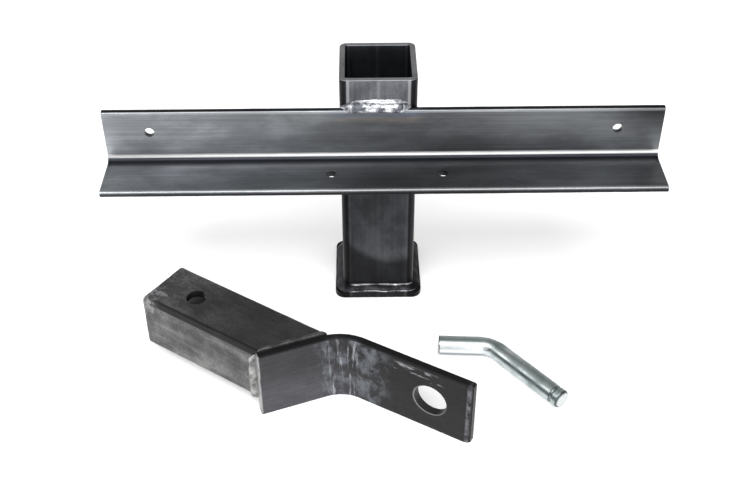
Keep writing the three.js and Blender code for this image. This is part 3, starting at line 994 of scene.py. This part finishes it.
angleLook = {
    "steel": [(0.36, (0.225, 0.235, 0.254)), (0.5, (0.32, 0.337, 0.358)), (0.64, (0.45, 0.468, 0.488))],
    # painted reflection along the bar, darkest a little right of its middle
    "sheenAlongBar": [(0.0, 0.9), (0.2, 0.78), (0.36, 0.5), (0.5, 0.31), (0.64, 0.28), (0.8, 0.4), (0.92, 0.46),
                 (1.0, 0.33)],
    # painted shade over the level leg
    "levelLegShade": 0.58,
    # painted light up the upright leg
    "uprightLegShade": (1.24, 0.68),       # at its foot, at its top
    # the root: painted shade below the split, painted highlight above it
    "rootSplit": 59,                  # degrees round the root: dark below, bright above
    "rootHighlightTones": [(0.0, 0.38), (0.3, 0.46), (1.0, 0.52)],
    "heatAlong": (-36, 34),           # mm from the tube's middle
    "heatUp": (-11.3, 1.2),           # mm from the upright leg's edge
    "heatRings": (-15.8, 2.2),
    "heatTints": [(0.2, (0.16, 0.12, 0.1)), (0.45, (0.2, 0.15, 0.12)), (0.7, (0.1, 0.13, 0.2)),
                  (0.95, (0.2, 0.21, 0.24))],
}


def makeAngleSteel():
    # bright rolled steel drawn along the bar: fine streaks, blue and straw heat marks under the weld; painted
    # reflection along the bar, darkest a little right of its middle; painted shade over the level leg and up
    # the upright leg, a black painted shade line under the root and a painted highlight over it, painted
    # highlights on the toes, painted shade on the edges, the far corner and in the holes
    look = angleLook
    low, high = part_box("cross_angle")
    root = high.y - (angle["wall"] + angle["root"]) * mm
    foot = low.z + angle["wall"] * mm
    s = Sheet("angleSteel", 0.85)
    fine = s.noise(900, (0.012, 1, 1), 3, 0.6)
    broad = s.noise(90, (0.03, 1, 1), 3, 0.6)
    cloud = s.noise(9, (1, 1.5, 1.5), 4, 0.6)
    blotch = s.noise(34, (0.4, 1, 1), 5, 0.65)
    mixed = s.blend([(fine, 0.34), (broad, 0.24), (cloud, 0.17), (blotch, 0.25)])
    along = s.math("MULTIPLY_ADD", s.x, 1 / (high.x - low.x), 0.5)
    s.colour = s.ramp(mixed, look["steel"])
    # painted reflection along the bar, darkest a little right of its middle
    s.tone(s.ramp(along, look["sheenAlongBar"]))
    s.tone(s.span(blotch, 0.38, 0.62, 0.84, 1.14))
    onLevel = s.below(s.z, low.z + 0.0053, low.z + 0.0063)
    # painted shade: the level leg darker
    s.tone(s.span(onLevel, 0.0, 1.0, 1.0, look["levelLegShade"]))

    split = math.radians(look["rootSplit"])
    splitY = root + angle["root"] * mm * math.sin(split)
    splitZ = foot + angle["root"] * mm * (1 - math.cos(split))
    # painted shade: a black line on the root below the split
    across = s.times(s.span(s.y, root - 0.0062, root + 0.0004),
                     s.below(s.y, splitY - 0.0004, splitY + 0.0004))
    s.paint((0.006, 0.007, 0.01), 0.97, across, s.band(s.z, foot - 0.0003, splitZ, 0.0003))
    # painted highlight on the root above the split
    rootHighlightBand = s.band(s.z, splitZ, foot + angle["root"] * mm, 0.0003)
    s.paint(s.ramp(along, look["rootHighlightTones"]), 0.95, rootHighlightBand)
    # painted light up the upright leg: lighter at its foot, darker at its top
    rise = s.math("MAXIMUM", s.span(s.z, low.z + 0.01, high.z, *look["uprightLegShade"]), onLevel)
    s.tone(rise)
    # painted shade over the far upper corner
    farCornerShade = s.times(s.span(s.x, high.x - 0.05, high.x - 0.005), s.span(s.z, low.z + 0.02, high.z))
    s.dark(farCornerShade, 0.78)

    # painted highlights along both toes
    toeHighlights = s.math("MAXIMUM", s.band(s.z, high.z - 0.0026, high.z - 0.0009, 0.0004),
                  s.times(onLevel, s.band(s.y, low.y + 0.0005, low.y + 0.0026, 0.0003)))
    s.paint((0.45, 0.46, 0.47), 0.24, toeHighlights)
    # painted shade: a black line on the upright leg's top edge
    s.paint((0.006, 0.006, 0.007), 0.93, s.span(s.z, high.z - 0.0009, high.z - 0.0005))
    # painted shade: a dark line on the level leg's front edge
    s.paint((0.01, 0.01, 0.011), 0.9, s.below(s.y, low.y + 0.0005, low.y + 0.0009),
            s.below(s.z, low.z + 0.0026, low.z + 0.0032))
    holeRadius = angle["holeRadius"] * mm
    # painted shade in the four bolt holes
    for place in angle["outerHoles"][:2]:
        outerUp = low.z + angle["outerHoles"][2] * mm
        s.dark(s.ring(s.x, tubeX + place * mm, s.z, outerUp, holeRadius))
    for place in angle["innerHoles"][:2]:
        innerOut = high.y - angle["innerHoles"][2] * mm
        s.dark(s.ring(s.x, tubeX + place * mm, s.y, innerOut, holeRadius))

    left, right = (tubeX + k * mm for k in look["heatAlong"])
    bottom, top = (high.z + k * mm for k in look["heatUp"])
    firstRing, lastRing = (high.z + k * mm for k in look["heatRings"])
    heat = s.times(s.band(s.x, left, right, 0.008), s.band(s.z, bottom, top, 0.003))
    rings = s.math("FRACT", s.blend([(s.span(s.z, firstRing, lastRing), 0.9), (cloud, 0.2)]))
    s.paint(s.ramp(rings, look["heatTints"]), s.span(blotch, 0.4, 0.6, 0.12, 0.45), heat)
    rough = s.ramp(mixed, [(0.3, 0.42), (0.7, 0.27)])
    return s.finish(rough, s.blend([(fine, 0.8), (broad, 0.4)]), 0.16)


def makeTubeSteel(name, dark, light, low, high):
    # mill scale drawn up the tube, with painted shade darker towards the mouth and a painted dark reflection
    # low down: painted highlights beside the corners and a light line down the middle, painted shade black on
    # the round corners, dull bright on the rim and painted shade near black inside
    s = Sheet(name, 0.8)
    streak = s.noise(420, (1, 1, 0.03), 3, 0.6)
    cloud = s.noise(26, (1, 1, 0.6), 5, 0.6)
    grain = s.noise(1200, (1, 1, 1), 2, 0.5)
    mixed = s.blend([(streak, 0.25), (cloud, 0.5), (grain, 0.25)])
    s.colour = s.ramp(mixed, [(0.36, dark), (0.64, light)])
    # painted shade, darker towards the mouth
    s.tone(s.span(s.z, low, high, 0.5, 1.0))
    s.tone(s.span(s.noise(55, (1, 1, 0.8), 5, 0.65), 0.38, 0.62, 0.76, 1.2))
    inX, inY = s.away(s.x, tubeX), s.away(s.y, tubeY)
    flat = (tube["half"] - tube["corner"]) * mm
    # painted highlights beside the round corners and a light line down the middle, fainter lower down
    cornerSheenAndLine = s.blend([(s.band(inX, flat - 0.0021, flat + 0.0002, 0.0007), 0.45),
                    (s.band(inX, -1.0, 0.0012, 0.001), 0.22)])
    s.paint((0.42, 0.42, 0.43), s.span(s.z, low, high, 0.1, 1.0), cornerSheenAndLine)
    # painted shade, near black on the round corners
    s.colour = s.mix(s.span(inX, flat - 0.0002, flat + 0.001, 0.0, 0.97), s.colour, (0.006, 0.006, 0.008))
    # painted dark reflection below a bowed line low on the tube
    bow = s.times(s.math("POWER", s.math("SUBTRACT", s.x, tubeX + 0.012), 2.0), 14.0)
    s.tone(s.span(s.math("SUBTRACT", s.z, bow), 0.032, 0.043, 0.25, 1.0))
    top = tube["height"] * mm
    s.paint((0.25, 0.25, 0.26), s.span(cloud, 0.35, 0.6, 0.55, 0.9),
            s.span(s.z, top - 0.0007, top - 0.0002))
    bore = (tube["half"] - tube["wall"]) * mm
    # painted shade, near black inside the bore
    inside = s.below(s.math("MAXIMUM", inX, inY), bore - 0.00009, bore + 0.00031)
    s.paint((0.012, 0.016, 0.019), 0.86, inside)
    rough = s.ramp(mixed, [(0.3, 0.5), (0.7, 0.34)])
    return s.finish(rough, s.blend([(streak, 0.4), (cloud, 0.3), (grain, 0.3)]), 0.2)


def makeShankSteel():
    # grey mill scale, mottled, with bright scuffs at the open end; painted shade over the top face, on the
    # top front corner, in the hole and near black in the bore; x runs along the shank from its open end, y
    # across it from its front side, z up from its underside
    width = shank["width"] * mm
    s = Sheet("shankSteel", 0.6, math.degrees(math.atan2(mountAlong[1], mountAlong[0])), tuple(mountFoot))
    streak = s.noise(300, (0.06, 1, 1), 3, 0.6)
    cloud = s.noise(45, (0.6, 1, 1), 6, 0.7)
    grain = s.noise(900, (1, 1, 1), 3, 0.6)
    mixed = s.blend([(streak, 0.1), (cloud, 0.6), (grain, 0.3)])
    s.colour = s.ramp(mixed, [(0.42, (0.04, 0.04, 0.042)), (0.5, (0.085, 0.085, 0.085)),
                              (0.58, (0.165, 0.165, 0.163))])
    # painted shade over the top face, lighter near the open end
    s.paint((0.022, 0.022, 0.023), s.span(s.x, 0.005, 0.1, 0.22, 0.84),
            s.span(s.z, width - 0.0006, width - 0.0001))
    # painted shade on the top front round corner, fainter at the open end
    edge = s.times(s.span(s.z, width - 0.0046, width - 0.0034), s.below(s.y, 0.0036, 0.0046))
    s.dark(s.times(edge, s.span(s.x, 0.006, 0.02, 0.2, 1.0)), 0.93)
    nearCorner = s.times(s.span(s.z, 0.012, 0.045), s.span(s.y, 0.006, 0.03, 1.0, 0.3))
    nearEnd = s.times(s.span(s.x, 0.0, 0.026, 0.31, 0.0), nearCorner)
    scuff = s.span(s.math("ADD", s.noise(130, (1, 1, 1), 4, 0.7), nearEnd), 0.7, 0.8)
    s.paint((0.3, 0.3, 0.31), 0.6, scuff)
    # painted shade in the cross hole
    s.dark(s.ring(s.x, shank["holeAlong"] * mm, s.y, width / 2, shank["holeRadius"] * mm))
    # painted shade, near black in the bore
    bore = width / 2 - shank["wall"] * mm
    inward = s.math("MAXIMUM", s.away(s.y, width / 2), s.away(s.z, width / 2))
    s.paint((0.006, 0.006, 0.006), 0.9, s.below(inward, bore + 0.00015, bore + 0.00245))
    rough = s.ramp(mixed, [(0.3, 0.58), (0.7, 0.42)])
    return s.finish(rough, s.blend([(cloud, 0.4), (grain, 0.6)]), 0.3)


def makeStrapSteel():
    # dark mill scale on the flat bar, drawn along it, scuffed blue-grey and cracked at the bend, pale where
    # both ends were sheared; painted shade darker towards the far end and towards the top, a painted
    # highlight on one side of the hole's edge, painted shade black on the upper edge, in the hole and on the
    # drilled wall; x runs along the bar, y up it
    s = Sheet("strapSteel", 0.6, chart=True)
    lengths = strapPath()[2]
    whole, width, holeRadius = lengths[-1] * mm, strap["width"] * mm, strap["holeRadius"] * mm
    streak = s.noise(300, (0.09, 1, 1), 3, 0.6)
    cloud = s.noise(34, (1, 1, 1), 6, 0.65)
    grain = s.noise(800, (1, 1, 1), 3, 0.6)
    mixed = s.blend([(streak, 0.3), (cloud, 0.45), (grain, 0.25)])
    s.colour = s.ramp(mixed, [(0.32, (0.045, 0.043, 0.05)), (0.68, (0.12, 0.117, 0.13))])
    # painted shade, darker towards the far end and towards the top
    s.tone(s.span(s.x, 0.03, 0.12, 0.72, 0.08))
    s.tone(s.span(s.y, 0.01, 0.05, 1.15, 0.55))
    holeAt = whole - (strap["end"] - strap["holeAlong"]) * mm
    # painted highlight on one side of the hole's edge
    rim = s.ring(s.x, holeAt - 0.0006, s.y, width / 2 - 0.0005, holeRadius + 0.0007)
    s.paint((0.3, 0.3, 0.31), 0.5, rim)
    # painted shade in the hole
    s.dark(s.ring(s.x, holeAt, s.y, width / 2, holeRadius), 0.93)

    bendAt = (lengths[strap["leanSteps"]] + lengths[strap["leanSteps"] + strap["bendSteps"]]) / 2 * mm
    onBend = s.band(s.x, bendAt - 0.02, bendAt + 0.036, 0.012)
    patch = s.span(s.noise(60, (1, 0.7, 1), 5, 0.7), 0.45, 0.62)
    s.paint((0.14, 0.152, 0.17), 0.75, onBend, patch)
    cracks = s.span(s.noise(300, (1, 0.1, 1), 4, 0.65), 0.53, 0.66)
    s.paint((0.36, 0.38, 0.41), 0.7, s.band(s.x, bendAt - 0.014, bendAt + 0.013, 0.006), cracks)
    scrape = s.span(s.noise(150, (0.35, 1.4, 1), 4, 0.7), 0.52, 0.64)
    nearHole = s.band(s.x, holeAt - 0.034, holeAt + 0.008, 0.006)
    onEdge = s.band(s.y, width - 0.0135, width - 0.004, 0.002)
    s.paint((0.25, 0.25, 0.27), nearHole, scrape, onEdge)
    # painted shade, near black on the upper edge
    s.paint((0.005, 0.005, 0.006), 0.95, s.span(s.y, width - 0.0011, width - 0.0004))
    ragged = s.noise(170, (1, 0.5, 1), 4, 0.7)
    farEnd = s.band(s.x, whole - 0.0044, whole - 0.0014, 0.001)
    s.paint((0.24, 0.24, 0.27), 0.55, farEnd, s.span(ragged, 0.38, 0.66))
    s.paint((0.42, 0.42, 0.42), 0.8, s.below(s.x, 0.0002, 0.0016),
            s.span(ragged, 0.3, 0.6, 0.6, 1.0))
    # painted shade on the drilled wall
    drilledWallShade = s.below(s.math("ADD", s.x, s.y), 0.0001, 0.0004)      # the drilled wall has no chart
    s.dark(drilledWallShade, 0.95)
    rough = s.ramp(mixed, [(0.3, 0.55), (0.7, 0.4)])
    return s.finish(rough, s.blend([(cloud, 0.35), (grain, 0.4), (streak, 0.25)]), 0.3)


def makeWeldMetal(name, dark, light, gloss, low, high, foot=None):
    # weld bead, dark and light in patches; with a foot, the height of the collar's top, it also gets painted
    # highlights along both toes at the front and is greyer along the left run
    s = Sheet(name, 0.9)
    patch = s.noise(120, (1, 1, 1), 4, 0.65)
    grain = s.noise(1500, (1, 1, 1), 2, 0.5)
    mixed = s.blend([(patch, 0.8), (grain, 0.2)])
    s.colour = s.ramp(mixed, [(low, dark), (high, light)])
    if foot is not None:
        # painted highlights along both toes at the front
        toeHighlights = s.blend([(s.band(s.z, (foot + 3.9) * mm, (foot + 4.5) * mm, 0.0003), 1.0),
                        (s.band(s.z, (foot + 0.1) * mm, (foot + 0.5) * mm, 0.0003), 0.5)])
        front = s.times(s.span(s.y, tubeY - 0.031, tubeY - 0.029, 1.0, 0.12),
                        s.band(s.x, tubeX - 0.024, tubeX + 0.033, 0.003))
        s.paint((0.6, 0.6, 0.62), s.span(patch, 0.4, 0.56, 0.3, 1.0), toeHighlights, front)
        s.paint((0.075, 0.075, 0.082), 0.6, s.below(s.x, tubeX - 0.0325, tubeX - 0.029))
    rough = s.ramp(mixed, [(low, gloss + 0.2), (high, gloss)])
    return s.finish(rough, grain, 0.2)


def makePinZinc():
    # zinc plate with a faint grey-green bloom; painted light: the long arm darker than the short one, the
    # short arm with painted shade on its crown, a painted reflection on its flank and painted shade under it
    # and at its sawn end, the long arm with a dark painted reflection streak, and the end with a painted
    # reflection on its face inside painted shade on its edge and in the groove
    s = Sheet("pinZinc", 1.0)
    bloom = s.noise(60, (1, 1, 1), 5, 0.6)
    grain = s.noise(1100, (1, 1, 1), 3, 0.6)
    mixed = s.blend([(bloom, 0.75), (grain, 0.25)])
    s.colour = s.ramp(mixed, [(0.38, (0.3, 0.35, 0.345)), (0.5, (0.47, 0.53, 0.53)),
                              (0.62, (0.7, 0.75, 0.75))])
    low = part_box("hitch_pin")[0]
    r = pin["radius"] * mm
    middle = low.z + r
    onShort = s.below(s.x, low.x + 0.032, low.x + 0.05)
    onLong = s.math("SUBTRACT", 1.0, onShort)
    # painted shade: the long arm darker than the short one
    s.tone(s.span(onShort, 0.0, 1.0, 0.82, 1.0))
    shoulder = (middle + 0.74 * r, middle + 0.86 * r)
    # painted shade on the short arm's crown
    s.paint((0.3, 0.36, 0.35), 0.6, s.span(s.z, *shoulder), onShort)
    # painted reflection on the short arm's flank
    s.paint((0.77, 0.8, 0.82), 0.9, s.below(s.z, *shoulder), onShort)
    # painted shade under the short arm and at its sawn end
    under = s.math("MAXIMUM", s.below(s.z, middle - 0.4 * r, middle - 0.15 * r),
                   s.below(s.x, low.x + 0.0007, low.x + 0.0015))
    s.paint((0.13, 0.14, 0.15), 0.85, under, onShort)
    # painted dark reflection streak along the long arm
    streak = s.band(s.z, middle + 0.22 * r, middle + 0.62 * r, 0.12 * r)
    s.paint((0.08, 0.1, 0.105), 0.72, streak, s.span(bloom, 0.36, 0.56, 0.5, 1.0), onLong)

    turn = math.radians(pin["longTurn"])
    inX = s.times(s.math("SUBTRACT", s.x, pin["tip"][0]), math.cos(turn))
    inY = s.times(s.math("SUBTRACT", s.y, pin["tip"][1]), math.sin(turn))
    fromTip = s.math("ADD", inX, inY)     # 0 at the pin's end, less than 0 inside
    # painted shade on the end's chamfered edge
    s.paint((0.06, 0.07, 0.075), 0.9, s.band(fromTip, -0.0021, -0.0007, 0.0003))
    grooveEnd = -pin["grooveFromEnd"] * mm
    # painted shade in the groove
    grooveShade = s.band(fromTip, grooveEnd - pin["grooveWidth"] * mm, grooveEnd, 0.0003)
    s.paint((0.1, 0.13, 0.125), 0.7, grooveShade)
    # painted reflection on the end face
    s.colour = s.mix(s.span(fromTip, -0.0006, -0.0002), s.colour, (0.6, 0.62, 0.62))
    rough = s.ramp(mixed, [(0.38, 0.44), (0.62, 0.3)])
    return s.finish(rough, s.blend([(bloom, 0.5), (grain, 0.5)]), 0.12)


tubeSteel = makeTubeSteel("tubeSteel", (0.05, 0.053, 0.062), (0.13, 0.134, 0.146), 0.13, 0.2)
collarSteel = makeTubeSteel("collarSteel", (0.03, 0.03, 0.034), (0.09, 0.09, 0.1), -0.02, 0.03)
brightWeld = makeWeldMetal("brightWeld", (0.075, 0.08, 0.092), (0.53, 0.54, 0.565), 0.26, 0.42, 0.57)
darkWeld = makeWeldMetal("darkWeld", (0.004, 0.004, 0.005), (0.018, 0.018, 0.021), 0.28, 0.4, 0.66,
                         collar["height"])
greyWeld = makeWeldMetal("greyWeld", (0.12, 0.12, 0.12), (0.42, 0.42, 0.41), 0.35, 0.36, 0.62)
blackWeld = makeWeldMetal("blackWeld", (0.06, 0.06, 0.06), (0.15, 0.15, 0.15), 0.42, 0.4, 0.6)
finishes = [
    (receiverTube, tubeSteel), (crossAngle, makeAngleSteel()), (mouthCollar, collarSteel),
    (collarFillet, darkWeld), (shankTube, makeShankSteel()), (tongueStrap, makeStrapSteel()),
    (hitchPin, makePinZinc()),
] + list(zip(angleBeads, (brightWeld, brightWeld, greyWeld, greyWeld, greyWeld)))
finishes += list(zip(mountBeads, (blackWeld, blackWeld, greyWeld, greyWeld)))
for piece, metal in finishes:
    piece.data.materials.append(metal)
print("finishes made")
